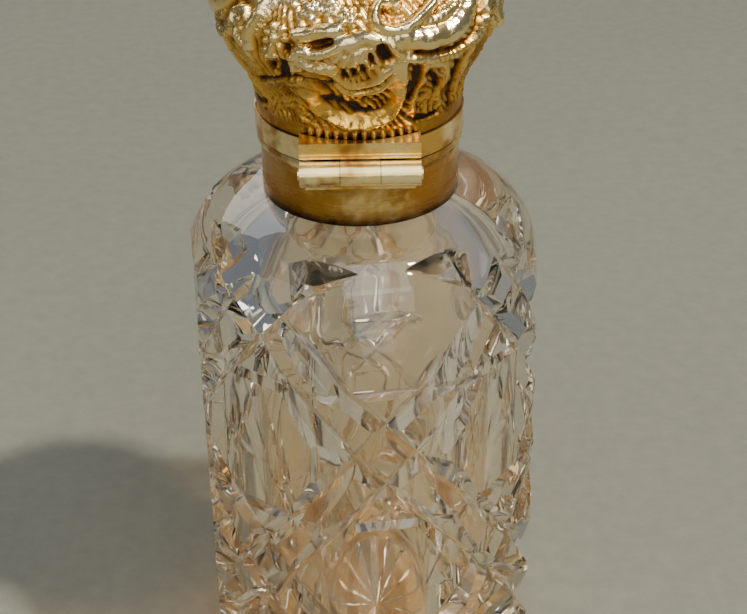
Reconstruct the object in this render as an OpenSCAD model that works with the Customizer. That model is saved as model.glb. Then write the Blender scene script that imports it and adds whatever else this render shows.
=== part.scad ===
// Cut-glass scent bottle with a gilt collar, a hinged repousse lid and a ground stopper.
// Millimetres, +Z up. The origin is the centre of the base, and the hinge faces -Y.

/* [Glass body] */
// Height of the body, from the base to the collar
body_h = 58; // [50:0.5:70]
// Distance from the axis to each of the eight flat panels
panel_r = 17.3; // [15:0.1:20]
// How far the cut pattern is turned from the hinge
glass_turn = 7; // [0:1:22]
// Radius of the widest point of the rounded shoulder
shoulder_r = 17.9; // [16:0.1:19]
// Radius where the shoulder meets the collar
shoulder_top_r = 9.6; // [9:0.1:12]
// Height of the rounded shoulder
shoulder_h = 8; // [5:0.5:12]
// Inside radius of the chamber
chamber_r = 11.2; // [9:0.1:13]
// Thickness of the base under the chamber
base_t = 7; // [4:0.5:12]

/* [Cut pattern] */
// Height of one row of the pattern
row_pitch = 15.8; // [12:0.1:20]
// Height of the lowest horizontal cut
first_row_z = 12; // [8:0.5:16]
// Depth of the paired slanted cuts
slant_depth = 1.1; // [0.6:0.1:1.8]
// Depth of the slanted cuts where they cross a corner
node_depth = 2.3; // [1.2:0.1:2.8]
// Vertical distance between the two cuts of a pair
slant_gap = 7; // [5:0.1:9]
// Depth of the horizontal cuts
ring_depth = 0.65; // [0.3:0.05:1.2]
// Depth of the upright cuts along the corners
corner_depth = 0.8; // [0.4:0.05:1.4]
// Number of full-width cuts in the star under the base
star_cuts = 8; // [4:1:12]

/* [Neck and stopper] */
// Outside radius of the neck
neck_r = 7.5; // [6:0.1:8]
// Height of the neck above the body
neck_h = 5; // [4:0.1:6]
// Radius of the throat at its top
throat_r = 3.95; // [3:0.05:5]
// Length of the ground plug
plug_l = 7.6; // [6:0.1:10]
// Radius of the stopper's round head
head_r = 6.4; // [5:0.1:7]
// Height of the stopper's head
head_h = 5.2; // [3:0.1:7]

/* [Collar] */
// Height of the collar
collar_h = 6.5; // [5:0.1:9]
// Outside radius of the collar
collar_r = 9.75; // [9:0.05:11]
// Thickness of the collar's wall
collar_t = 0.85; // [0.5:0.05:1.2]
// How far the bezel stands above the collar
bezel_rise = 2; // [1:0.1:3]

/* [Lid] */
// Height of the lid
lid_h = 20; // [16:0.5:26]
// Radius of the lid at its narrow waist
waist_r = 10.1; // [9.5:0.05:11]
// Radius of the lid at its widest
dome_r = 13.4; // [12:0.1:15]
// Height of the widest point above the lid's rim
dome_z = 12.6; // [9:0.1:15]
// Thickness of the lid's metal
shell_t = 0.6; // [0.4:0.05:1]
// Number of beads around the foot of the lid
bead_count = 48; // [24:1:72]
// Number of times the raised ornament repeats around the lid
ornament_count = 3; // [3:1:5]

/* [Hinge] */
// Length of the hinge
hinge_l = 11.3; // [8:0.1:16]
// Radius of a knuckle
knuckle_r = 1.2; // [0.9:0.01:1.6]
// Radius of the hinge pin
pin_r = 0.6; // [0.4:0.05:0.8]
// Distance from the axis of the bottle to the axis of the hinge
hinge_y = 11.5; // [11:0.1:12.5]

/* [Hidden] */
$fn = 96;
sides = 8;
corner_r = panel_r / cos(180 / sides);
panel_w = 2 * panel_r * tan(180 / sides);
slant_angle = atan(row_pitch / panel_w);
slant_l = panel_w / cos(slant_angle) + 4;
node_l = 16;
rows = [0:4];
seam_z = body_h + collar_h;
neck_top = body_h + neck_h;
plug_z = neck_top - plug_l;
plug_gap = 0.03;
plug_taper = 0.3;
throat_low_r = throat_r - plug_taper;
roof_z = body_h - 14;
roof_h = 8;
neck_turn = acos((neck_r - throat_low_r) / (chamber_r - throat_low_r));
neck_low_z = roof_z + roof_h * sin(neck_turn);
deck_t = 0.8;
deck_hole_r = 5.2;
sleeve_r = collar_r - collar_t;
lid_gap = 0.05;
band_r = 10.2;
band_in_r = sleeve_r + 0.25;
band_h = 2.3;
foot_h = 4.6;
leaf_y = 10.95;
knuckle_l = hinge_l / 3;
knuckle_gap = 0.06;
bore_gap = 0.04;
bead_r = 0.34;
curve_steps = 12;

// Radius of the lid's outside at a height above the lid's rim.
function flare(h) = pow(max(0, (h - foot_h) / (dome_z - foot_h)), 0.9);
function lid_r(h, wall) = h < dome_z
    ? waist_r - wall + (dome_r - waist_r) * (0.5 - 0.5 * cos(180 * flare(h)))
    : (dome_r - wall) * sqrt(max(0, 1 - pow((h - dome_z) / (lid_h - wall - dome_z), 2)));

// Heights from the lid's foot to its crown, closer together towards the crown.
function lid_heights(low, high) = [
    for (i = [0:2 * curve_steps])
        low + (high - low) * sin(90 * i / (2 * curve_steps))
];

function lid_profile(low, wall) = [
    for (h = lid_heights(low, lid_h - wall))
        [lid_r(h, wall), seam_z + h]
];

function reversed(list) = [
    for (i = [len(list) - 1:-1:0])
        list[i]
];

// A long V-shaped cutter along Y, its edge sunk to the given depth behind X = 0.
module mitre(length, depth) {
    open = depth + 2;
    rotate([90, 0, 0])
        linear_extrude(height = length, center = true)
            polygon([[-depth, 0], [2, open], [2, -open]]);
}

// Puts its children on one flat panel at the given height, with +X pointing out.
module on_panel(column, z) {
    rotate([0, 0, glass_turn - 90 + column * 360 / sides])
        translate([panel_r, 0, z])
            children();
}

module glass_blank() {
    intersection() {
        rotate([0, 0, glass_turn - 90 - 180 / sides])
            cylinder(r = corner_r, h = body_h, $fn = sides);
        rotate_extrude()
            polygon(concat(
                [[0, 0], [16.4, 0], [18.2, 1.8], [corner_r + 0.2, 4], [corner_r + 0.2, 22]],
                [
                    for (i = [0:curve_steps])
                        [
                            shoulder_top_r + (shoulder_r - shoulder_top_r) * cos(90 * i / curve_steps),
                            body_h - shoulder_h + shoulder_h * sin(90 * i / curve_steps)
                        ]
                ],
                [[0, body_h]]
            ));
    }
}

// The four crossing cuts of one pattern cell.
module slanted_cuts(column, z) {
    for (lean = [-1, 1])
        for (side = [-1, 1])
            on_panel(column, z + side * slant_gap / 2)
                rotate([lean * slant_angle, 0, 0])
                    mitre(slant_l, slant_depth);
}

module panel_cuts() {
    for (column = [0:sides - 1]) {
        for (row = rows)
            if ((column + row) % 2 == 0)
                slanted_cuts(column, first_row_z + (row - 0.5) * row_pitch);
        for (row = [0:2])
            on_panel(column, first_row_z + row * row_pitch)
                mitre(panel_w + 4, ring_depth);
    }
}

// The deep pair of cuts at a corner, where the pattern passes from one panel to the next.
module corner_node(column, z, lean) {
    for (side = [-1, 1])
        rotate([0, 0, glass_turn - 90 + (column + 0.5) * 360 / sides])
            translate([corner_r, 0, z + side * slant_gap / 2])
                rotate([lean * slant_angle, 0, 0])
                    mitre(node_l, node_depth);
}

module corner_nodes() {
    for (column = [0:sides - 1])
        for (row = [0:2])
            corner_node(
                column,
                first_row_z + row * row_pitch,
                (column + row) % 2 == 0 ? 1 : -1
            );
}

// Upright cuts down the corners of the body.
module corner_cuts() {
    for (column = [0:sides - 1])
        rotate([0, 0, glass_turn - 90 + (column + 0.5) * 360 / sides])
            translate([corner_r, 0, body_h / 2 - 3])
                rotate([90, 0, 0])
                    mitre(body_h, corner_depth);
}

// A V-shaped cutter whose edge runs between two points and which opens along out.
module mitre_line(start, end, out) {
    along = (end - start) / norm(end - start);
    across = cross(out, along) / norm(cross(out, along));
    up = cross(along, across);
    middle = (start + end) / 2;
    multmatrix([
        [up.x, along.x, across.x, middle.x],
        [up.y, along.y, across.y, middle.y],
        [up.z, along.z, across.z, middle.z],
        [0, 0, 0, 1]
    ])
        mitre(norm(end - start) + 3, 0);
}

// Height of the rounded shoulder at a distance from the axis.
function shoulder_z(r) = body_h - shoulder_h
    + shoulder_h * sqrt(1 - pow((r - shoulder_top_r) / (shoulder_r - shoulder_top_r), 2));

// A point on or below the shoulder, at an angle from the middle of a panel.
function on_shoulder(r, angle, sink) = [
    (r - sink) * cos(angle),
    (r - sink) * sin(angle),
    shoulder_z(r) - sink
];

// Wedge-shaped cuts that start deep at a corner and die out on the rounded shoulder.
module shoulder_cuts() {
    for (column = [0:2:sides - 1])
        for (side = [-1, 1])
            on_panel(column, 0)
                translate([-panel_r, 0, 0])
                    mitre_line(
                        on_shoulder(15.9, side * 25, 1.4),
                        on_shoulder(15.2, side * 8, 0),
                        [0.6, 0, 0.8]
                    );
}

module base_star() {
    for (i = [0:star_cuts - 1])
        rotate([0, 0, glass_turn + i * 180 / star_cuts])
            rotate([0, 90, 0])
                mitre(26, 0.8);
}

// The rounded roof of the chamber, from the wall at a start angle up to the throat.
function chamber_roof(start) = [
    for (i = [0:curve_steps])
        let(turn = start + (90 - start) * i / curve_steps)
            [
                throat_low_r + (chamber_r - throat_low_r) * cos(turn),
                roof_z + roof_h * sin(turn)
            ]
];

// The chamber, with the round socket that the neck fills.
module chamber() {
    rotate_extrude()
        polygon(concat(
            [[0, base_t], [chamber_r - 3, base_t]],
            [
                for (i = [0:6])
                    [chamber_r - 3 + 3 * sin(15 * i), base_t + 3 - 3 * cos(15 * i)]
            ],
            [
                for (point = chamber_roof(0))
                    if (point.x > neck_r)
                        point
            ],
            [[neck_r, neck_low_z], [neck_r, body_h + 1], [0, body_h + 1]]
        ));
}

module glass_bottle() {
    color([0.86, 0.84, 0.76, 0.4])
        difference() {
            glass_blank();
            panel_cuts();
            corner_nodes();
            corner_cuts();
            shoulder_cuts();
            base_star();
            chamber();
        }
}

// The neck, one with the body's glass, with the ground throat through it.
module glass_neck() {
    color([0.86, 0.84, 0.76, 0.4])
        rotate_extrude()
            polygon(concat(
                chamber_roof(neck_turn),
                [
                    [throat_low_r, plug_z],
                    [throat_r, neck_top],
                    [neck_r, neck_top]
                ]
            ));
}

module stopper() {
    head_z = neck_top + deck_t + 0.1;
    color([0.8, 0.85, 0.84, 0.5])
        rotate_extrude()
            polygon([
                [0, plug_z],
                [throat_low_r - plug_gap - 0.4, plug_z],
                [throat_low_r - plug_gap, plug_z + 0.4],
                [throat_r - plug_gap, neck_top],
                [throat_r - plug_gap, head_z],
                [head_r - 0.8, head_z],
                [head_r, head_z + 0.8],
                [head_r, head_z + 2.6],
                [head_r - 1.2, head_z + 3.8],
                [head_r - 3.2, head_z + head_h],
                [0, head_z + head_h]
            ]);
}

module ring(outer, inner, low, high) {
    translate([0, 0, low])
        difference() {
            cylinder(r = outer, h = high - low);
            translate([0, 0, -1])
                cylinder(r = inner, h = high - low + 2);
        }
}

module neck_cement() {
    color([0.86, 0.82, 0.72])
        ring(sleeve_r, neck_r, body_h, neck_top);
}

module collar_sleeve() {
    color([0.72, 0.56, 0.26])
        ring(collar_r, sleeve_r, body_h, seam_z - lid_gap);
}

// The rounded moulding around the top of the collar.
module collar_top_bead() {
    high = seam_z - lid_gap;
    color([0.78, 0.61, 0.3])
        rotate_extrude()
            polygon([
                [collar_r, high - 1.3],
                [collar_r + 0.15, high - 1.2],
                [collar_r + 0.32, high - 0.85],
                [collar_r + 0.36, high - 0.5],
                [collar_r + 0.28, high - 0.15],
                [collar_r + 0.15, high],
                [collar_r, high]
            ]);
}

module collar_deck() {
    color([0.74, 0.58, 0.28])
        ring(sleeve_r, deck_hole_r, neck_top, neck_top + deck_t);
}

module bezel_ring() {
    color([0.8, 0.64, 0.32])
        ring(sleeve_r, sleeve_r - 0.6, neck_top + deck_t, seam_z + bezel_rise);
}

// One barrel of the hinge, with a web that joins it to a leaf above or below it.
module knuckle(centre_x, web_side) {
    length = knuckle_l - knuckle_gap;
    web_h = knuckle_r + 0.13;
    translate([centre_x, -hinge_y, seam_z])
        difference() {
            union() {
                rotate([0, 90, 0])
                    cylinder(r = knuckle_r, h = length, center = true);
                translate([0, hinge_y - leaf_y + 0.3, web_side * web_h / 2])
                    cube([length, 0.6, web_h], center = true);
            }
            rotate([0, 90, 0])
                cylinder(r = pin_r + bore_gap, h = length + 1, center = true);
        }
}

module collar_knuckle_left() {
    color([0.84, 0.68, 0.38])
        knuckle(-knuckle_l, -1);
}

module collar_knuckle_right() {
    color([0.84, 0.68, 0.38])
        knuckle(knuckle_l, -1);
}

module lid_knuckle() {
    color([0.86, 0.7, 0.4])
        knuckle(0, 1);
}

module hinge_pin() {
    color([0.6, 0.5, 0.34])
        translate([0, -hinge_y, seam_z])
            rotate([0, 90, 0])
                cylinder(r = pin_r, h = hinge_l + 0.3, center = true);
}

// The narrow leaf on the collar, under the two outer knuckles.
module collar_hinge_plate() {
    high = seam_z - knuckle_r - 0.13;
    low = high - 0.5;
    color([0.8, 0.63, 0.32])
        difference() {
            translate([-hinge_l / 2 + 0.5, -leaf_y - 0.1, low])
                cube([hinge_l - 1, leaf_y - collar_r + 2, high - low]);
            translate([0, 0, low - 1])
                cylinder(r = collar_r, h = high - low + 2);
            ring(collar_r + 0.4, collar_r - 0.5, seam_z - lid_gap - 1.35, high + 1);
        }
}

// The leaf on the lid, with a turned edge along its foot.
module lid_hinge_plate() {
    low = seam_z + knuckle_r + 0.13;
    high = seam_z + 2.8;
    color([0.8, 0.64, 0.34])
        difference() {
            union() {
                translate([-hinge_l / 2, -leaf_y, low])
                    cube([hinge_l, leaf_y - band_r + 2.2, high - low]);
                translate([-hinge_l / 2, -leaf_y - 0.15, low])
                    cube([hinge_l, 0.3, 0.35]);
            }
            translate([0, 0, low - 1])
                cylinder(r = band_r, h = high - low + 2);
        }
}

module lid_rim_band() {
    color([0.8, 0.65, 0.33])
        ring(band_r, band_in_r, seam_z + lid_gap, seam_z + band_h);
}

// A row of beads around the foot of the dome.
module bead_border() {
    for (i = [0:bead_count - 1])
        rotate([0, 0, 360 * i / bead_count])
            translate([waist_r + bead_r * 0.35, 0, seam_z + 3.25])
                sphere(r = bead_r, $fn = 24);
}

// A tapered rod between two points.
module rod(start, end, start_r, end_r) {
    along = end - start;
    translate(start)
        rotate([0, acos(along.z / norm(along)), atan2(along.y, along.x)])
            cylinder(r1 = start_r, r2 = end_r, h = norm(along), $fn = 24);
}

// A point on the dome's outside, at a height above the rim and an angle around.
function on_dome(h, angle, sink) = [
    (lid_r(h, 0) - sink) * cos(angle),
    (lid_r(h, 0) - sink) * sin(angle),
    seam_z + h
];

// A shell of raised ribs that spreads as it climbs the dome.
module shell_fan() {
    for (i = [-3:3])
        rod(on_dome(4.9, i * 2.6, 0.2), on_dome(10.4 - abs(i) * 0.4, i * 6.4, 0.3), 0.3, 0.62);
}

// A raised C-shaped scroll that ends in a round boss.
module c_scroll(side) {
    h = dome_z - 0.4;
    rotate([0, 0, side * 25])
        translate([dome_r - 0.35, 0, seam_z + h])
            rotate([0, 90, 0])
                rotate([0, 0, side > 0 ? -150 : -60]) {
                    rotate_extrude(angle = 210)
                        translate([2.4, 0])
                            circle(r = 0.5, $fn = 24);
                    translate([0, side * -0.3, 0])
                        sphere(r = 0.85, $fn = 32);
                }
}

// A round boss with a bead on it, in the gap between two scrolls.
module boss() {
    translate([dome_r - 1.1, 0, seam_z + dome_z + 0.6]) {
        sphere(r = 1.7, $fn = 32);
        translate([1.6, 0, 0])
            sphere(r = 0.55, $fn = 32);
    }
}

module raised_ornament() {
    for (i = [0:ornament_count - 1])
        rotate([0, 0, -90 + i * 360 / ornament_count]) {
            shell_fan();
            c_scroll(-1);
            c_scroll(1);
            rotate([0, 0, 180 / ornament_count])
                boss();
        }
}

// The hollow dome with its raised ornament and bead border.
module lid_shell() {
    low = band_h;
    color([0.83, 0.67, 0.31])
        difference() {
            union() {
                rotate_extrude()
                    polygon(concat(
                        [[0, seam_z + low]],
                        lid_profile(low, 0)
                    ));
                raised_ornament();
                bead_border();
            }
            rotate_extrude()
                polygon(concat(
                    [[0, seam_z + low - 1], [waist_r - shell_t, seam_z + low - 1]],
                    lid_profile(low, shell_t)
                ));
        }
}

// The smooth gilt lining inside the dome.
module lid_liner() {
    low = band_h + 0.1;
    color([0.85, 0.7, 0.36])
        rotate_extrude()
            polygon(concat(
                lid_profile(low, shell_t + 0.05),
                reversed(lid_profile(low, shell_t + 0.4))
            ));
}

glass_bottle();
glass_neck();
stopper();
neck_cement();
collar_sleeve();
collar_top_bead();
collar_deck();
bezel_ring();
collar_hinge_plate();
collar_knuckle_left();
collar_knuckle_right();
hinge_pin();
lid_shell();
lid_liner();
lid_rim_band();
lid_hinge_plate();
lid_knuckle();
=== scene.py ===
"""Looks of a cut-glass scent bottle with a chased gilt lid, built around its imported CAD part."""

import math

import bmesh
import bpy
import numpy as np
from mathutils import Matrix, Vector

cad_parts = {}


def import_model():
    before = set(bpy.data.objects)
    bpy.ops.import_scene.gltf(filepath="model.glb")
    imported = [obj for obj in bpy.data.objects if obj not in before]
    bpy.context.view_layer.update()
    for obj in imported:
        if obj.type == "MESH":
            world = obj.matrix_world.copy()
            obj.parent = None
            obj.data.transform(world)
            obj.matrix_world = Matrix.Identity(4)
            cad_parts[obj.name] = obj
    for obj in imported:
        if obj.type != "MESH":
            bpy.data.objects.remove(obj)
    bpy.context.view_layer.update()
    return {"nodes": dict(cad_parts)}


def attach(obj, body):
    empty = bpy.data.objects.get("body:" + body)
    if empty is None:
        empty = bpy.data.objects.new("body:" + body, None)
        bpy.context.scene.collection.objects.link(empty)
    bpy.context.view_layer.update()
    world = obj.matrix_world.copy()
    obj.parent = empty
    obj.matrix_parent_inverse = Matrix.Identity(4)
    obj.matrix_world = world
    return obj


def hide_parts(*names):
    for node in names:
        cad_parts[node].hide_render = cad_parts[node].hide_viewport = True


MM = 0.001

# Sizes shared with the CAD part, in millimetres.
SEAM_Z = 64.5
COLLAR_Z = 58.0
WAIST_R = 10.1
DOME_R = 13.4
DOME_H = 12.6
LID_H = 20.0
BAND_H = 2.3
FOOT_H = 4.6
SHELL_T = 0.6
CHAMBER_R = 11.2
NECK_R = 7.5

# How soon the lid flares out above its foot, as in the CAD part. It has no unit.
FLARE_BEND = 0.9

# The chasing never cuts deeper than this, so that it stays inside the shell.
DEEPEST = 0.5

# The lid's ornament repeats this many times around.
REPEATS = 3

# Points of the lid's outside, from foot to crown and around, and of its inside from foot to crown.
ROWS = 190
COLUMNS = 450
INNER_ROWS = 24

# How the edges of each kind of part are softened: the width in millimetres, and the turn between faces
# in degrees above which an edge counts.
METAL_EDGE = (0.06, 35)
STOPPER_EDGE = (0.15, 25)
GLASS_EDGE = (0.12, 18)


# ---------------------------------------------------------------- lid profile


def lid_radius(height, wall=0.0):
    """Radius of the lid at a height above its rim, both in millimetres."""
    climb = np.clip((height - FOOT_H) / (DOME_H - FOOT_H), 0, 1) ** FLARE_BEND
    lower = WAIST_R - wall + (DOME_R - WAIST_R) * (0.5 - 0.5 * np.cos(math.pi * climb))
    above = np.clip((height - DOME_H) / (LID_H - wall - DOME_H), 0, 1)
    upper = (DOME_R - wall) * np.sqrt(1 - above**2)
    return np.where(height < DOME_H, lower, upper)


def lid_profile(wall, count):
    """Radius and height of evenly spaced points from the lid's foot to its crown, and how far along."""
    fine_steps = 4000
    turn = np.linspace(0, 1, fine_steps)
    height = BAND_H + (LID_H - wall - BAND_H) * np.sin(turn * math.pi / 2)
    radius = lid_radius(height, wall)
    step = np.hypot(np.diff(radius), np.diff(height))
    along = np.concatenate([[0], np.cumsum(step)])
    even = np.linspace(0, along[-1], count)
    return np.interp(even, along, radius), np.interp(even, along, height), even


# ---------------------------------------------------------------- chased ornament

# A motif is drawn in degrees around the lid and millimetres above its rim. This radius turns its degrees
# into millimetres.
CHART_R = 12.6

# points on each smoothed line, width of the grooves along a band, and the drop outside a ledge
LINE_POINTS = 90
GROOVE_WIDTH = 0.12
LEDGE_DROP = 0.22

# the shell over the hinge
SHELL_RIM = [
    (-25, 7.0), (-23, 5.8), (-17, 5.0), (-9, 4.2), (0, 4.0),
    (9, 4.2), (16, 4.9), (20, 6.2), (20, 8.8), (18.4, 11.5),
]
SHELL_LIP = [(-9.5, 9.4), (-5.5, 8.5), (0, 8.2), (6.7, 8.4), (12, 9.3), (16, 10.8)]
SHELL_BAND = [(-9.2, 10.2), (-5.3, 9.3), (0, 9.1), (6, 9.4), (11, 10.4), (14.3, 11.5)]
SHELL_SHADE = [(-16, 7.3), (-7.5, 6.9), (-2.7, 6.2), (2.5, 5.7), (9, 5.5), (14, 5.9), (17.2, 7.2)]
SHELL_LACE = [(-3, 7.6), (2, 7.4), (7, 7.3), (12, 8.1), (15, 9.0), (17.4, 10.2)]
SHELL_BROW = [(-8, 13.3), (-2.3, 13.8), (2, 14.0), (6, 13.9), (9.5, 13.5)]
SHELL_SLOTS = [(-5.8, 10.5), (-2.2, 10.7), (1.4, 11.1), (4.9, 12.0)]

# the large scroll to the right of it
SCROLL_CURL = [
    (16, 16.6), (10, 16.4), (7, 15.7), (8, 14.9),
    (12, 14.5), (19, 14.5), (25, 15.1), (33, 15.9),
]
SCROLL_GROOVE = [(11, 16.0), (13, 15.7), (16, 15.5), (19.5, 15.6)]
SCROLL_BACK = [(15, 13.8), (24, 13.5), (31, 13.3), (38, 13.5), (45, 14.1), (52, 15.0), (57, 16.6)]
SCROLL_ROPE = [(27, 14.9), (33, 14.8), (39, 15.0), (46, 15.6), (51, 16.8)]
SCROLL_SHADE = [
    (21, 12.8), (25, 12.3), (31, 11.9), (38, 11.6),
    (46, 11.8), (51, 12.4), (55, 13.4), (58.5, 14.6),
]
SCROLL_EDGE = [(24, 11.5), (31, 11.1), (38.6, 10.9), (47, 11.1), (55, 11.7), (60.5, 12.8), (66, 14.4)]
SCROLL_STEM = [(9.5, 14.6), (12, 13.5), (14.7, 12.6), (18.3, 12.0), (24, 11.5)]

# leaves, bar and fringe to the left
UPPER_LEAF = [(-25, 13.9), (-20, 14.1), (-14.5, 14.5), (-8, 14.6)]
MIDDLE_LEAF = [(-26.5, 12.0), (-21.5, 12.6), (-16, 12.4), (-11, 12.9), (-7, 13.4)]
LOWER_LEAF = [(-27, 10.7), (-22, 11.4), (-16.5, 11.0), (-11.5, 10.8)]
LEAF_BAR = [(-47.5, 11.8), (-47, 13.1), (-44, 14.6), (-42, 16.2), (-38, 18)]
BAR_ROPE = [(-42.5, 13.4), (-41, 14.7), (-39, 16.0), (-35, 17.6)]
SHELF = [(-57, 7.4), (-53, 7.6), (-39, 8.8), (-26, 9.5), (-19, 9.6), (-11.5, 9.3)]
FRINGE = [(-50, 7.0), (-40, 8.0), (-30, 8.6), (-20, 8.9)]

# deep hollows in the chasing, each a line and its half width
HOLLOW_DEPTH = 0.55
HOLLOWS = [
    ([(9, 13.0), (10.5, 12.1)], 0.62),
    ([(24.2, 10.5), (25, 9.4), (25, 8.0), (23.7, 6.8)], 0.58),
    ([(30, 9.6), (34.5, 8.9), (39.5, 7.3)], 0.34),
    ([(46, 9.6), (49, 8.0), (54, 6.1), (57, 4.4), (57, 3.1)], 0.42),
    ([(32, 4.2), (39, 3.9), (46, 3.9)], 0.38),
    ([(-30.5, 10.8), (-32.5, 9.5)], 0.66),
    ([(-28.5, 12.6), (-28.3, 12.4)], 0.5),
    ([(-18, 13.2), (-15, 13.4), (-11, 13.7)], 0.42),
    ([(-57, 13.2), (-56.7, 12.0)], 0.4),
    ([(-36, 10.9), (-37, 10.2)], 0.34),
]


def along_chart(height, even, heights):
    """Distance along the profile at a height above the rim."""
    return np.interp(height, heights, even)


def smooth_curve(points, even, heights):
    """A smooth line through a motif's points, in chart millimetres."""
    knots = np.array([
        [math.radians(degrees) * CHART_R, along_chart(height, even, heights)]
        for degrees, height in points
    ])
    ends = np.concatenate([[2 * knots[0] - knots[1]], knots, [2 * knots[-1] - knots[-2]]])
    spans = len(knots) - 1
    line = []
    for where in np.linspace(0, spans, LINE_POINTS):
        i = min(int(where), spans - 1)
        t = where - i
        a, b, c, d = ends[i : i + 4]
        square = 2 * a - 5 * b + 4 * c - d
        cube = 3 * b - a - 3 * c + d
        line.append(0.5 * (2 * b + (c - a) * t + square * t**2 + cube * t**3))
    return np.array(line)


def near(line, x, y):
    """Distance from every chart point to a line, and how far along the line that is."""
    best = np.full(x.shape, np.inf)
    where = np.zeros(x.shape)
    run = np.concatenate([[0], np.cumsum(np.hypot(*np.diff(line, axis=0).T))])
    for (px, py), distance_along in zip(line, run):
        gap = np.hypot(x - px, y - py)
        closer = gap < best
        best = np.where(closer, gap, best)
        where = np.where(closer, distance_along, where)
    return best, where


def dome(distance, width):
    """A rounded ridge's height, from 1 on its line to 0 at its width."""
    return np.sqrt(np.clip(1 - (distance / width) ** 2, 0, 1))


def fade(value, low, high):
    """A smooth step from 0 at the low value to 1 at the high one."""
    t = np.clip((value - low) / (high - low), 0, 1)
    return t * t * (3 - 2 * t)


class Relief:
    """Heights of the ornament over one repeat of the chart, in millimetres."""

    def __init__(self, degrees, even, heights):
        self.even = even
        self.heights = heights
        self.x, self.y = np.meshgrid(np.radians(degrees) * CHART_R, even)
        self.z = np.zeros(self.x.shape)

    def lay(self, inside, shape):
        """Raises the surface to a shape, where the shape is the higher."""
        self.z = np.where(inside, np.maximum(self.z, shape), self.z)

    def line(self, points):
        return smooth_curve(points, self.even, self.heights)

    def spot(self, centre):
        """Offsets of every chart point from a place given in degrees and millimetres."""
        cx = math.radians(centre[0]) * CHART_R
        return self.x - cx, self.y - along_chart(centre[1], self.even, self.heights)

    def band(self, points, width, high, groove=0.0):
        """A rounded band, with a shallow groove near each edge if asked."""
        distance, _ = near(self.line(points), self.x, self.y)
        from_groove = (distance - width * 0.6) / GROOVE_WIDTH
        shape = high * dome(distance, width) - groove * np.exp(-(from_groove**2))
        self.lay(distance < width, shape)

    def ledge(self, points, centre, width, high):
        """A rim that drops off steeply outside its line and slopes gently in towards a centre."""
        line = self.line(points)
        distance, _ = near(line, self.x, self.y)
        dx, dy = self.spot(centre)
        rim_x = line[:, 0] - (self.x - dx)[0, 0]
        rim_y = line[:, 1] - (self.y - dy)[0, 0]
        bearing = np.arctan2(rim_x, -rim_y)
        order = np.argsort(bearing)
        reach = np.interp(np.arctan2(dx, -dy), bearing[order], np.hypot(rim_x, rim_y)[order])
        slope = 1 - distance / np.where(np.hypot(dx, dy) < reach, width, LEDGE_DROP)
        self.lay(slope > 0, high * np.clip(slope, 0, 1) ** 0.8)

    def cut(self, points, width, deep):
        """A steep-sided hollow along a line."""
        distance, _ = near(self.line(points), self.x, self.y)
        share = np.clip(distance / width, 0, 1) ** 3
        self.z = np.where(distance < width, share * self.z - (1 - share) * deep, self.z)

    def pits(self, points, radius, pitch, deep):
        """A row of small round pits along a line."""
        distance, where = near(self.line(points), self.x, self.y)
        across = (where % pitch) - pitch / 2
        self.z -= (deep + self.z) * np.clip(1 - (np.hypot(distance, across) / radius) ** 4, 0, 1)

    def rope(self, points, width, pitch, high, nick=0.6):
        """A band cut by slanting nicks."""
        distance, where = near(self.line(points), self.x, self.y)
        slant = 0.5
        wave = np.abs(np.sin(math.pi * (where + distance * slant) / pitch))
        self.lay(distance < width, high * dome(distance, width) * (1 - nick + nick * wave))

    def ribs(self, centre, reach, spread, count, high):
        """Flutes that fan out below a centre."""
        dx, dy = self.spot(centre)
        rho = np.hypot(dx, dy)
        angle = np.degrees(np.arctan2(dx, -dy))
        flute = np.abs(np.cos(math.pi * count * angle / (2 * spread)))
        ends = fade(rho, reach[0], reach[0] + 0.5) * (1 - fade(rho, reach[1] - 0.6, reach[1]))
        self.lay((np.abs(angle) < spread) & (ends > 0), high * flute**0.7 * ends)

    def leaf(self, centre, tilt, size, high):
        """A pointed leaf with a sunk vein."""
        dx, dy = self.spot(centre)
        cosine = math.cos(math.radians(tilt))
        sine = math.sin(math.radians(tilt))
        u = dx * cosine + dy * sine
        v = dy * cosine - dx * sine
        taper = np.clip(1 - np.abs(u / size[0]) ** 1.6, 0, 1)
        shape = high * np.sqrt(np.clip(taper**2 - (v / size[1]) ** 2, 0, 1))
        vein = 0.25 * np.exp(-((v / 0.12) ** 2)) * taper
        side = 0.08 * np.cos(11 * (u - np.abs(v))) * taper
        self.lay(shape > 0.01, shape - vein + side)

    def flower(self, centre, radius, petals, high):
        """A small open flower with a round eye."""
        dx, dy = self.spot(centre)
        rho = np.hypot(dx, dy)
        lobe = np.abs(np.cos(petals * np.arctan2(dy, dx) / 2))
        edge = radius * (0.72 + 0.28 * lobe)
        sunk = 0.5 + 0.5 * fade(rho, 0.25, radius * 0.8)
        cup = high * np.clip(1 - (rho / edge) ** 4, 0, 1) * sunk
        notch = 0.3 * (1 - lobe) * fade(rho, 0.3, 0.9)
        self.lay(rho < edge, cup - notch)
        self.lay(rho < radius * 0.3, (high + 0.1) * dome(rho, radius * 0.3))


def shell(relief):
    """The rocaille shell over the hinge."""
    relief.cut(SHELL_SHADE, 0.55, 0.34)
    relief.pits(SHELL_LACE, 0.24, 0.72, 0.36)
    relief.ledge(SHELL_RIM, (1, 14.4), 1.5, 0.85)
    relief.band(SHELL_BAND, 0.50, 0.42, groove=0.1)
    relief.band(SHELL_LIP, 0.24, 0.50)
    relief.ribs((1, 14.4), (0.9, 3.9), 58, 8, 0.34)
    for degrees, height in SHELL_SLOTS:
        relief.cut([(degrees - 0.4, height + 0.45), (degrees + 0.5, height - 0.45)], 0.27, 0.42)
    relief.band(SHELL_BROW, 0.70, 0.72, groove=0.08)


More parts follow.
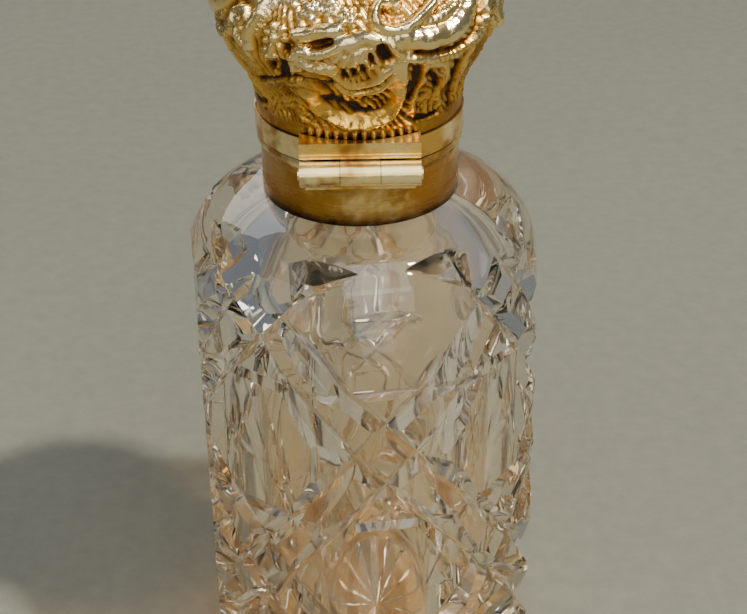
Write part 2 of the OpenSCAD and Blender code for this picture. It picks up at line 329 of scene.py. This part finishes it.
def scroll(relief):
    """The large scroll, with its rope and its beaded edge."""
    relief.cut(SCROLL_SHADE, 0.46, 0.40)
    relief.rope(SCROLL_EDGE, 0.50, 0.55, 0.48)
    relief.band(SCROLL_STEM, 0.50, 0.62)
    relief.rope(SCROLL_ROPE, 0.52, 0.52, 0.52, nick=0.4)
    relief.band(SCROLL_BACK, 1.05, 0.78, groove=0.06)
    relief.band(SCROLL_CURL, 0.55, 0.95)
    relief.cut(SCROLL_GROOVE, 0.30, 0.20)
    relief.flower((16, 16.4), 0.7, 1, 0.85)
    relief.band([(27.5, 10.7), (28.5, 8.5), (27.5, 6.2), (30, 5.0)], 0.42, 0.34)
    relief.band([(31, 10.6), (37, 10.1), (42, 8.2), (43, 6.2), (47, 5.0)], 0.55, 0.42, groove=0.08)
    relief.band([(53, 10.8), (52.5, 9.0), (56, 7.2), (61, 5.4)], 0.55, 0.42, groove=0.08)
    relief.leaf((35, 6.0), 70, (1.5, 0.7), 0.35)


def foliage(relief):
    """The leaves, bar, fringe and flowers to the left of the shell and above it."""
    relief.cut(SHELF, 0.26, 0.40)
    relief.rope(FRINGE, 0.55, 0.36, 0.24, nick=0.8)
    relief.leaf((-38, 5.8), 15, (2.8, 0.9), 0.36)
    relief.leaf((-30, 4.6), -20, (1.9, 0.7), 0.32)
    relief.leaf((-49, 5.0), 50, (2.0, 0.7), 0.34)
    relief.band(LOWER_LEAF, 0.72, 0.46)
    relief.cut([(-24.5, 11.0), (-19, 10.5)], 0.15, 0.0)
    relief.cut([(-20, 11.6), (-15, 11.3)], 0.15, 0.0)
    relief.band(MIDDLE_LEAF, 0.58, 0.62)
    relief.band(UPPER_LEAF, 0.66, 0.66, groove=0.12)
    relief.band(LEAF_BAR, 0.62, 0.80)
    relief.rope(BAR_ROPE, 0.50, 0.50, 0.46)
    relief.band([(-52, 11.8), (-57.5, 13.4), (-57, 14.5), (-52, 14.9), (-49.5, 14.2)], 0.42, 0.62)
    relief.flower((-53.5, 14.0), 0.75, 1, 0.66)
    for centre, radius, petals in [
        ((-34, 13.4), 1.55, 7),
        ((-37, 11.6), 1.0, 6),
        ((-20, 15.9), 1.3, 5),
        ((-4, 15.7), 1.2, 6),
        ((-30, 16.6), 1.2, 5),
        ((2, 17.2), 1.1, 5),
    ]:
        relief.flower(centre, radius, petals, 0.6)
    relief.leaf((-12, 16.3), -35, (2.2, 0.8), 0.5)
    relief.leaf((-9, 17.6), 20, (1.8, 0.7), 0.45)
    relief.leaf((22, 17.4), 15, (2.2, 0.8), 0.5)
    relief.leaf((40, 16.9), 25, (2.2, 0.8), 0.5)


def ornament(degrees, even, heights):
    """One repeat of the chased pattern: leaves, scroll and shell, then the hollows between them."""
    relief = Relief(degrees, even, heights)
    foliage(relief)
    scroll(relief)
    shell(relief)
    for points, width in HOLLOWS:
        relief.cut(points, width, HOLLOW_DEPTH)
    return relief.z


def crown(heights, degrees):
    """A rosette of twelve petals, with an eye and a nicked ring, that closes the top of the lid."""
    petals_r = 3.1
    eye_r = 1.1
    ring_r = 6.6
    radius = lid_radius(heights)[:, None]
    angle = np.radians(degrees)[None, :]
    petals = np.abs(np.cos(angle * 6))
    flower = (0.25 + 0.4 * petals) * dome(radius - petals_r, 2.3)
    eye = 0.8 * dome(radius, eye_r)
    ring = 0.5 * dome(radius - ring_r, 0.5)
    nicks = 0.55 + 0.45 * np.abs(np.sin(angle * 30))
    level = np.zeros((len(heights), len(degrees)))
    return np.maximum.reduce([flower - 0.1, level + eye, ring * nicks, level - 0.2])


def grid_noise(shape, cells, seed):
    """Smooth noise from -1 to 1 that wraps around the lid."""
    rng = np.random.default_rng(seed)
    rows, columns = cells
    coarse = rng.uniform(-1, 1, (rows + 1, columns))
    y = np.linspace(0, rows, shape[0])
    x = np.arange(shape[1]) * columns / shape[1]
    y0 = np.minimum(y.astype(int), rows - 1)
    x0 = x.astype(int)
    ty = (y - y0)[:, None]
    tx = (x - x0)[None, :]
    ty = ty * ty * (3 - 2 * ty)
    tx = tx * tx * (3 - 2 * tx)
    x1 = (x0 + 1) % columns
    below = coarse[y0][:, x0 % columns] * (1 - tx) + coarse[y0][:, x1] * tx
    above = coarse[y0 + 1][:, x0 % columns] * (1 - tx) + coarse[y0 + 1][:, x1] * tx
    return below * (1 - ty) + above * ty


def stronger(a, b):
    """Whichever of two heights stands further from the ground."""
    return np.where(np.abs(b) > np.abs(a), b, a)


def repeated(even, heights):
    """The ornament all the way round, with what runs over the end of one repeat carried into the next."""
    step = 360 / COLUMNS
    count = COLUMNS // REPEATS
    over = count // 4
    degrees = -180 / REPEATS + (np.arange(count + 2 * over) - over) * step
    drawn = ornament(degrees, even, heights)
    one = drawn[:, over : over + count].copy()
    one[:, :over] = stronger(one[:, :over], drawn[:, over + count :])
    one[:, -over:] = stronger(one[:, -over:], drawn[:, :over])
    return np.tile(one, (1, REPEATS))


def foot_border(heights, degrees):
    """Upright lobes below the shells, which die out into a plain edge between them."""
    turn = (degrees + 180 / REPEATS) % (360 / REPEATS) - 180 / REPEATS
    under_shell = 1 - fade(np.abs(turn), 27, 36)[None, :]
    lobe = np.abs(np.sin(np.radians(degrees) * 36))[None, :]
    rise = (fade(heights, 2.4, 2.7) * (1 - fade(heights, 3.3, 3.6)))[:, None]
    return (0.45 * lobe**0.7 - 0.22) * rise * under_shell


def lid_relief(even, heights, degrees):
    """Heights of the whole chased surface, in millimetres."""
    z = repeated(even, heights)
    shape = z.shape

    # fine curling strokes over the ground between the raised parts
    stroke_pitch = 0.95
    stroke_slant = 0.7
    stroke_curl = 1.7
    ground = 1 - fade(np.abs(z), 0.02, 0.12)
    sweep = np.radians(degrees)[None, :] * CHART_R + stroke_slant * even[:, None]
    curl = sweep / stroke_pitch + stroke_curl * grid_noise(shape, (7, 22), 3)
    z = z + ground * (0.40 * np.abs(np.sin(math.pi * curl)) ** 0.8 - 0.24)

    # the small unevenness of hand work
    z = z + 0.15 * grid_noise(shape, (24, 74), 5) + 0.08 * grid_noise(shape, (60, 150), 7)

    # the crown takes over at the top
    top = fade(heights, 18.0, 18.5)[:, None]
    z = z * (1 - top) + crown(heights, degrees) * top

    # the border takes over at the foot, and the whole surface sinks a little
    low = 1 - fade(heights, 3.4, 4.1)[:, None]
    z = z * (1 - low) + foot_border(heights, degrees) * low - 0.12
    return np.maximum(z, -DEEPEST)


def lid_grid(degrees):
    """Radius, height and relief of the lid's points, up the outside and then down the inside."""
    radius, heights, even = lid_profile(0, ROWS)
    z = lid_relief(even, heights, degrees)
    out_r = np.gradient(heights, even)[:, None]
    out_h = -np.gradient(radius, even)[:, None]
    near_axis = np.minimum(1, radius / 1.5)[:, None]
    outer_r = radius[:, None] + z * out_r * near_axis
    outer_h = heights[:, None] + z * out_h
    outer_h[-1] = outer_h[-1].mean()

    inner_r, inner_h, _ = lid_profile(SHELL_T, INNER_ROWS)
    inner_level = -0.2
    all_r = np.concatenate([outer_r, np.repeat(inner_r[::-1, None], COLUMNS, 1)])
    all_h = np.concatenate([outer_h, np.repeat(inner_h[::-1, None], COLUMNS, 1)])
    level = np.concatenate([z, np.full((INNER_ROWS, COLUMNS), inner_level)])

    # both crowns come to a point on the axis
    all_r[ROWS - 1] = 0
    all_r[ROWS] = 0
    return all_r, all_h, level


def grid_faces(rows):
    """Four-sided faces between neighbouring points, with none between the two crowns."""
    index = np.arange(rows * COLUMNS).reshape(rows, COLUMNS)
    right = np.roll(index, -1, 1)
    quads = np.stack([index, right, np.roll(right, -1, 0), np.roll(index, -1, 0)], -1)
    return np.delete(quads, ROWS - 1, 0).reshape(-1, 4)


def build_lid():
    """The chased shell as one closed mesh, with how high each point stands kept for its material."""
    degrees = -180 / REPEATS + np.arange(COLUMNS) * 360 / COLUMNS
    radius, height, level = lid_grid(degrees)
    angle = np.radians(degrees - 90)
    points = np.stack([radius * np.cos(angle), radius * np.sin(angle), height + SEAM_Z], -1) * MM

    mesh = bpy.data.meshes.new("chased_lid")
    mesh.from_pydata(points.reshape(-1, 3).tolist(), [], grid_faces(len(radius)).tolist())
    kept = mesh.attributes.new("relief", "FLOAT", "POINT")
    kept.data.foreach_set("value", level.reshape(-1).astype(np.float32))
    bm = bmesh.new()
    bm.from_mesh(mesh)
    bmesh.ops.remove_doubles(bm, verts=bm.verts, dist=1e-8)
    bm.to_mesh(mesh)
    bm.free()
    mesh.shade_smooth()
    return link(bpy.data.objects.new("chased_lid", mesh))


# ---------------------------------------------------------------- glass


def one_glass(body, neck):
    """Copies of the body and the neck made into one mesh, with no wall left between them."""
    plug = bpy.data.objects.new("neck_copy", neck.data.copy())
    low = min(vertex.co.z for vertex in plug.data.vertices)

    # the foot of the copied neck grows a little, so that it bites into the body and no gap is left
    bite = 0.15
    for vertex in plug.data.vertices:
        radius = math.hypot(vertex.co.x, vertex.co.y)
        at_foot = vertex.co.z < low + MM
        if at_foot and radius > (NECK_R - 0.05) * MM:
            grow = 1 + bite * MM / radius
            vertex.co.x *= grow
            vertex.co.y *= grow
    whole = link(bpy.data.objects.new("whole_copy", body.data.copy()))
    link(plug)
    union = whole.modifiers.new("union", "BOOLEAN")
    union.operation = "UNION"
    union.object = plug
    made = whole.evaluated_get(bpy.context.evaluated_depsgraph_get())
    mesh = bpy.data.meshes.new_from_object(made)
    bpy.data.objects.remove(whole)
    bpy.data.objects.remove(plug)
    return mesh


def build_glass(body, neck):
    """The cut glass with its flat faces made whole and its edges softened to catch the light."""
    mesh = one_glass(body, neck)
    mesh.name = "cut_glass"
    glass = link(bpy.data.objects.new("cut_glass", mesh))
    bm = bmesh.new()
    bm.from_mesh(mesh)
    flat = math.radians(0.4)
    bmesh.ops.remove_doubles(bm, verts=bm.verts, dist=2e-6)
    bmesh.ops.dissolve_limit(bm, angle_limit=flat, verts=bm.verts, edges=bm.edges)
    bm.to_mesh(mesh)
    bm.free()
    mesh.shade_smooth()
    mesh.set_sharp_from_angle(angle=math.radians(GLASS_EDGE[1]))
    soften(glass, GLASS_EDGE)
    return glass


# ---------------------------------------------------------------- materials


class Nodes:
    """A short way to build a material's nodes."""

    def __init__(self, name):
        self.material = bpy.data.materials.new(name)
        self.material.use_nodes = True
        self.tree = self.material.node_tree
        self.shader = self.tree.nodes["Principled BSDF"]

    def add(self, kind, links=None, **settings):
        """A new node, with its inputs linked to sockets or set to values."""
        node = self.tree.nodes.new(kind)
        for key, value in settings.items():
            setattr(node, key, value)
        for socket, source in (links or {}).items():
            if isinstance(source, bpy.types.NodeSocket):
                self.tree.links.new(source, node.inputs[socket])
            else:
                node.inputs[socket].default_value = source
        return node

    def set(self, socket, source):
        """Links or sets one input of the main shader."""
        if isinstance(source, bpy.types.NodeSocket):
            self.tree.links.new(source, self.shader.inputs[socket])
        else:
            self.shader.inputs[socket].default_value = source

    def place(self, stretch=(1, 1, 1)):
        where = self.add("ShaderNodeTexCoord").outputs["Object"]
        return self.add("ShaderNodeMapping", {"Vector": where, "Scale": stretch}).outputs["Vector"]

    def split(self):
        """The three coordinates of a point, in metres."""
        return self.add("ShaderNodeSeparateXYZ", {"Vector": self.place()}).outputs

    def height(self):
        return self.split()[2]

    def openness(self, distance):
        """How open a point's surroundings are within a distance, from 0 in a corner to 1."""
        return self.add("ShaderNodeAmbientOcclusion", {"Distance": distance}, samples=8).outputs["AO"]

    def noise(self, scale, detail=3.0, rough=0.55, stretch=(1, 1, 1)):
        links = {"Vector": self.place(stretch), "Scale": scale, "Detail": detail, "Roughness": rough}
        return self.add("ShaderNodeTexNoise", links).outputs["Fac"]

    def ramp(self, source, stops):
        node = self.add("ShaderNodeValToRGB", {"Fac": source})
        elements = node.color_ramp.elements
        while len(elements) < len(stops):
            elements.new(0.5)
        for element, (position, colour) in zip(elements, stops):
            element.position = position
            element.color = (*colour, 1)
        return node.outputs["Color"]

    def range(self, source, low, high, to_low=0.0, to_high=1.0):
        """Stretches the values between low and high to another range, and holds them inside it."""
        links = {0: source, 1: low, 2: high, 3: to_low, 4: to_high}
        return self.add("ShaderNodeMapRange", links).outputs[0]

    def mix(self, fac, a, b):
        """A colour between a and b, each a socket or three values."""
        node = self.add("ShaderNodeMix", data_type="RGBA")
        for socket, source in ((0, fac), (6, a), (7, b)):
            if isinstance(source, bpy.types.NodeSocket):
                self.tree.links.new(source, node.inputs[socket])
            else:
                node.inputs[socket].default_value = source if socket == 0 else (*source, 1)
        return node.outputs[2]

    def maths(self, operation, a, b=0.0):
        return self.add("ShaderNodeMath", {0: a, 1: b}, operation=operation).outputs[0]

    def bump(self, height, strength, distance):
        links = {"Height": height, "Strength": strength, "Distance": distance}
        self.set("Normal", self.add("ShaderNodeBump", links).outputs["Normal"])

    def let_light_through(self, colour):
        """Rays from the lamps pass straight through, tinted, and so light what is behind the glass."""
        clear = self.add("ShaderNodeBsdfTransparent", {"Color": (*colour, 1)})
        path = self.add("ShaderNodeLightPath")
        links = {0: path.outputs["Is Shadow Ray"], 1: self.shader.outputs[0], 2: clear.outputs[0]}
        both = self.add("ShaderNodeMixShader", links)
        output = next(node for node in self.tree.nodes if node.type == "OUTPUT_MATERIAL")
        self.tree.links.new(both.outputs[0], output.inputs["Surface"])


GLASS_IOR = 1.52

# the dark of real tarnish in the hollows, and also the colour of painted shade in creases and corners
TARNISH_AND_SHADE = (0.030, 0.014, 0.006)
SHADOW_BROWN = (0.16, 0.07, 0.015)
OLD_GOLD = (0.40, 0.17, 0.025)
GOLD = (0.74, 0.40, 0.07)
RICH_GOLD = (0.97, 0.55, 0.09)
PALE_GOLD = (1.0, 0.73, 0.27)
SILVER = (1.0, 0.80, 0.45)


def chased_gilt():
    """Gilding on the ornament: yellow low down, rubbed pale up high, tarnished in the hollows, with
    painted shade in the creases and a painted lighter top.
    """
    n = Nodes("chased_gilt")
    kept = n.add("ShaderNodeAttribute", attribute_name="relief", attribute_type="GEOMETRY")
    relief = kept.outputs["Fac"]
    z = n.height()
    patch = n.noise(230, 4)
    speck = n.noise(1500, 5)
    level = n.maths("ADD", relief, n.range(patch, 0.3, 0.7, -0.10, 0.10))
    # painted light: the whole ornament is made lighter towards the top of the lid
    level = n.maths("ADD", level, n.range(z, (SEAM_Z + 8) * MM, (SEAM_Z + 12) * MM, 0.0, 0.16))
    level = n.maths("ADD", level, n.range(speck, 0.3, 0.7, -0.05, 0.05))
    tone = n.ramp(
        n.range(level, -0.6, 0.9),
        [(0.16, TARNISH_AND_SHADE), (0.27, OLD_GOLD), (0.42, GOLD), (0.70, RICH_GOLD)],
    )
    worn = n.range(level, 0.0, 0.5)
    pale = n.maths("MULTIPLY", n.range(z, (SEAM_Z + 6.5) * MM, (SEAM_Z + 9.5) * MM), worn)
    tone = n.mix(pale, tone, PALE_GOLD)
    rubbed = n.maths("MULTIPLY", n.range(z, (SEAM_Z + 9) * MM, (SEAM_Z + 13) * MM), worn)
    rubbed = n.maths("MULTIPLY", rubbed, n.range(patch, 0.42, 0.60, 0.1, 0.9))
    tone = n.mix(rubbed, tone, SILVER)
    # painted shade: creases are darkened by how enclosed they are, a little less near the top of the lid
    crease = n.openness(0.0014)
    crease_shade_start = n.range(z, (SEAM_Z + 8) * MM, (SEAM_Z + 12) * MM, 0.40, 0.20)
    tone = n.mix(n.range(crease, crease_shade_start, n.maths("ADD", crease_shade_start, 0.38)), TARNISH_AND_SHADE, tone)
    n.set("Base Color", tone)
    n.set("Metallic", n.range(level, -0.5, -0.25, 0.3, 1.0))
    polish = n.maths("ADD", level, n.range(speck, 0, 1, -0.2, 0.2))
    n.set("Roughness", n.range(polish, -0.3, 0.6, 0.40, 0.18))
    n.bump(n.maths("ADD", speck, n.maths("MULTIPLY", n.noise(650, 2), 2.5)), 0.4, 0.0002)
    return n.material


def plain_gilt(name, warm, pale, dirt_and_shade, foot_z=0.0):
    """Smooth gilding with rubbed patches, fine scratches, dirt and painted shade in tight corners, a
    painted shadow on surfaces closed in by nearby parts such as under the hinge, and a dark lower edge.
    """
    n = Nodes(name)
    patch = n.noise(210, 5, 0.65)
    streak = n.noise(260, 4, 0.6, (1, 1, 16))
    fleck = n.noise(1900, 3)
    tone = n.mix(n.range(patch, 0.42, 0.62), warm, pale)
    tone = n.mix(n.range(n.noise(95, 4, 0.7), 0.50, 0.58, 0, 0.85), tone, OLD_GOLD)
    tone = n.mix(n.range(streak, 0.60, 0.78, 0, 0.5), tone, SILVER)
    tone = n.mix(n.range(fleck, 0.70, 0.78, 0, 0.6), tone, OLD_GOLD)
    corner = n.openness(0.0011)
    around = n.openness(0.0028)
    # painted shadow: surfaces closed in by nearby parts, such as the collar under the hinge, are darkened
    # to brown
    tone = n.mix(n.range(around, dirt_and_shade, 1.75 * dirt_and_shade), SHADOW_BROWN, tone)
    # dirt and painted shade: tight corners are darkened further by how enclosed they are
    tone = n.mix(n.range(corner, 0.5 * dirt_and_shade, 1.5 * dirt_and_shade), TARNISH_AND_SHADE, tone)
    if foot_z:
        edge = n.maths("ADD", n.height(), n.range(patch, 0.3, 0.7, -0.0004, 0.0004))
        tone = n.mix(n.range(edge, foot_z, foot_z + 0.0008, 0.05, 1.0), TARNISH_AND_SHADE, tone)
    n.set("Base Color", tone)
    n.set("Metallic", n.range(corner, 0.2, 0.6, 0.4, 0.86))
    n.set("Roughness", n.range(streak, 0.3, 0.7, 0.10, 0.32))
    n.bump(n.maths("ADD", streak, n.maths("MULTIPLY", fleck, 0.5)), 0.25, 0.00008)
    return n.material


def cut_glass_material():
    """Old lead glass: a tan tint that grows downward as painted warm light, a dull film in the chamber,
    amber dirt and painted warm glints in the lowest cuts.
    """
    n = Nodes("cut_glass")
    x, y, z = n.split()
    radius = n.maths("SQRT", n.maths("ADD", n.maths("MULTIPLY", x, x), n.maths("MULTIPLY", y, y)))
    wall = (CHAMBER_R + 0.25) * MM
    patch = n.noise(110, 4)

    inside = n.maths("MULTIPLY", n.range(radius, wall, wall + 0.0003, 1, 0), n.range(z, 0.004, 0.005))
    film = n.maths("MULTIPLY", inside, n.range(patch, 0.42, 0.60, 0.10, 1.0))
    # painted warm light: a tan tint that grows towards the bottom stands in for warm light from the gilt
    # around the glass
    warm_painted_light = n.maths("MULTIPLY", n.range(z, 0.052, 0.036), n.range(patch, 0.30, 0.70, 0.55, 1.0))
    # amber dirt and painted warm glints low down in the glass
    amber_dirt_and_glints = n.maths("MULTIPLY", n.range(z, 0.028, 0.010), n.range(n.noise(170, 3), 0.50, 0.60))

    tone = n.mix(warm_painted_light, (0.985, 0.965, 0.925), (0.99, 0.865, 0.68))
    tone = n.mix(amber_dirt_and_glints, tone, (0.95, 0.60, 0.22))
    tone = n.mix(film, tone, (0.93, 0.80, 0.60))
    n.set("Base Color", tone)
    n.set("Roughness", n.range(film, 0, 1, 0.0, 0.08))
    n.set("IOR", GLASS_IOR)
    n.set("Transmission Weight", n.range(film, 0, 1, 1.0, 0.91))
    n.bump(n.noise(260, 2), 0.06, 0.0003)
    n.let_light_through((0.60, 0.49, 0.36))
    return n.material


def stopper_material():
    """Clear glass with a ground plug."""
    n = Nodes("stopper_glass")
    ground = n.range(n.height(), (SEAM_Z - 1.5) * MM, (SEAM_Z - 0.9) * MM, 1, 0)
    cloud = n.range(n.noise(300), 0.3, 0.7)
    n.set("Base Color", n.mix(cloud, (0.97, 0.97, 0.95), (0.93, 0.92, 0.88)))
    n.set("Roughness", n.range(ground, 0, 1, 0.02, 0.45))
    n.set("IOR", GLASS_IOR)
    n.set("Transmission Weight", 1.0)
    return n.material


def cement_material():
    """Dry, slightly mottled plaster."""
    n = Nodes("cement")
    n.set("Base Color", n.ramp(n.noise(900, 4), [(0.3, (0.50, 0.44, 0.33)), (0.7, (0.72, 0.67, 0.55))]))
    n.set("Roughness", 0.9)
    return n.material


def floor_material():
    """A plain pale surface with a fine grain."""
    n = Nodes("pale_floor")
    grain = n.maths("ADD", n.noise(7, 3), n.range(n.noise(420, 5, 0.7), 0.3, 0.7, -0.35, 0.35))
    n.set("Base Color", n.ramp(grain, [(0.1, (0.152, 0.154, 0.119)), (0.9, (0.190, 0.190, 0.146))]))
    n.set("Roughness", 0.75)
    return n.material


# ---------------------------------------------------------------- scene


def link(obj):
    bpy.context.scene.collection.objects.link(obj)
    return obj


def soften(obj, edge):
    """Rounds an object's sharp edges a little."""
    width, angle = edge
    bevel = obj.modifiers.new("soft_edges", "BEVEL")
    bevel.width = width * MM
    bevel.segments = 2
    bevel.limit_method = "ANGLE"
    bevel.angle_limit = math.radians(angle)


def dress(obj, material):
    obj.data.materials.clear()
    obj.data.materials.append(material)


def build_floor():
    half = 1.5
    corners = [(-half, -half, 0), (half, -half, 0), (half, half, 0), (-half, half, 0)]
    mesh = bpy.data.meshes.new("floor")
    mesh.from_pydata(corners, [], [(0, 1, 2, 3)])
    floor = link(bpy.data.objects.new("floor", mesh))
    mesh.materials.append(floor_material())


# Each lamp's name, place, size, power in watts and colour. They all point at one place.
LAMPS_AIM = (0, 0, 0.05)
LAMPS = [
    ("key", (0.25, -0.139, 0.577), (0.03, 0.03), 5.4, (1.0, 0.94, 0.82)),
    ("sky", (0.06, -0.30, 0.55), (0.40, 0.45), 1.3, (0.90, 0.94, 1.0)),
    ("front", (0.12, -0.60, 0.34), (0.50, 0.45), 1.2, (1.0, 0.95, 0.86)),
    ("window", (-0.20, 0.43, 0.42), (0.50, 0.32), 1.4, (1.0, 0.98, 0.95)),
    ("fill", (-0.40, -0.30, 0.25), (0.30, 0.30), 0.35, (1.0, 0.97, 0.92)),
]


def add_light(name, place, size, power, colour):
    """A soft rectangular lamp that points at the middle of the bottle."""
    light = bpy.data.lights.new(name, "AREA")
    light.shape = "RECTANGLE"
    light.size, light.size_y = size
    light.energy = power
    light.color = colour
    lamp = link(bpy.data.objects.new(name, light))
    lamp.location = place
    aim = Vector(LAMPS_AIM) - Vector(place)
    lamp.rotation_euler = aim.to_track_quat("-Z", "Y").to_euler()


def light_scene():
    for lamp in LAMPS:
        add_light(*lamp)
    world = bpy.data.worlds.new("studio")
    bpy.context.scene.world = world
    world.use_nodes = True
    background = world.node_tree.nodes["Background"]
    background.inputs["Color"].default_value = (0.68, 0.76, 0.86, 1)
    background.inputs["Strength"].default_value = 0.22


def place_camera():
    """Looks down at the bottle from the hinge side."""
    camera = bpy.data.cameras.new("camera")
    camera.lens = 81.9
    camera.sensor_width = 36
    camera.clip_start = 0.01
    place = (0, -0.152, 0.1355)
    pitch = math.radians(31.3)
    yaw = math.radians(0.42)
    roll = math.radians(-0.81)
    across = math.cos(pitch)
    forward = Vector((math.sin(yaw) * across, math.cos(yaw) * across, -math.sin(pitch)))
    level = Vector((math.cos(yaw), -math.sin(yaw), 0))
    upright = level.cross(forward)
    right = level * math.cos(roll) + upright * math.sin(roll)
    up = upright * math.cos(roll) - level * math.sin(roll)
    turn = Matrix((right, up, -forward)).transposed()
    obj = link(bpy.data.objects.new("camera", camera))
    obj.matrix_world = Matrix.Translation(place) @ turn.to_4x4()
    bpy.context.scene.camera = obj


def dress_metal(nodes):
    """Gives each metal part and the cement its finish, and softens its edges."""
    collar_gilt = plain_gilt("collar_gilt", (0.52, 0.28, 0.04), (1.0, 0.74, 0.32), 0.52, COLLAR_Z * MM)
    band_gilt = plain_gilt("band_gilt", (0.66, 0.38, 0.08), (0.97, 0.77, 0.40), 0.4)
    # painted highlight: the knuckles' pale brushed gilt is lightened further to stand in for their lit
    # tops
    hinge_gilt_painted_highlight = plain_gilt("hinge_gilt_painted_highlight", (0.98, 0.76, 0.32), (1.0, 0.88, 0.50), 0.3)
    # painted reflection: the hinge plates' gilt is a brighter yellow that stands in for the lid's shell
    # reflected in them
    plate_gilt_painted_reflection = plain_gilt("plate_gilt_painted_reflection", (0.95, 0.57, 0.10), (1.0, 0.78, 0.34), 0.2)
    lining_gilt = plain_gilt("lining_gilt", (0.72, 0.48, 0.17), (0.80, 0.58, 0.26), 0.3)
    finishes = {
        "neck_cement": (cement_material(), "cement"),
        "collar_sleeve": (collar_gilt, "gilt"),
        "collar_top_bead": (band_gilt, "gilt"),
        "collar_deck": (lining_gilt, "gilt"),
        "bezel_ring": (lining_gilt, "gilt"),
        "collar_hinge_plate": (plate_gilt_painted_reflection, "gilt"),
        "collar_knuckle_left": (hinge_gilt_painted_highlight, "gilt"),
        "collar_knuckle_right": (hinge_gilt_painted_highlight, "gilt"),
        "hinge_pin": (hinge_gilt_painted_highlight, "pin_brass"),
        "lid_liner": (lining_gilt, "gilt"),
        "lid_rim_band": (band_gilt, "gilt"),
        "lid_hinge_plate": (plate_gilt_painted_reflection, "gilt"),
        "lid_knuckle": (hinge_gilt_painted_highlight, "gilt"),
    }
    for name, (material, slot) in finishes.items():
        dress(nodes[name], material)
        soften(nodes[name], METAL_EDGE)


def main():
    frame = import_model()
    nodes = frame["nodes"]

    dress_metal(nodes)
    dress(nodes["stopper"], stopper_material())
    soften(nodes["stopper"], STOPPER_EDGE)

    glass = build_glass(nodes["glass_bottle"], nodes["glass_neck"])
    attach(glass, "bottle")
    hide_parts("glass_bottle", "glass_neck")
    dress(glass, cut_glass_material())

    lid = build_lid()
    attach(lid, "lid")
    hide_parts("lid_shell")
    dress(lid, chased_gilt())

    build_floor()
    light_scene()
    place_camera()


main()
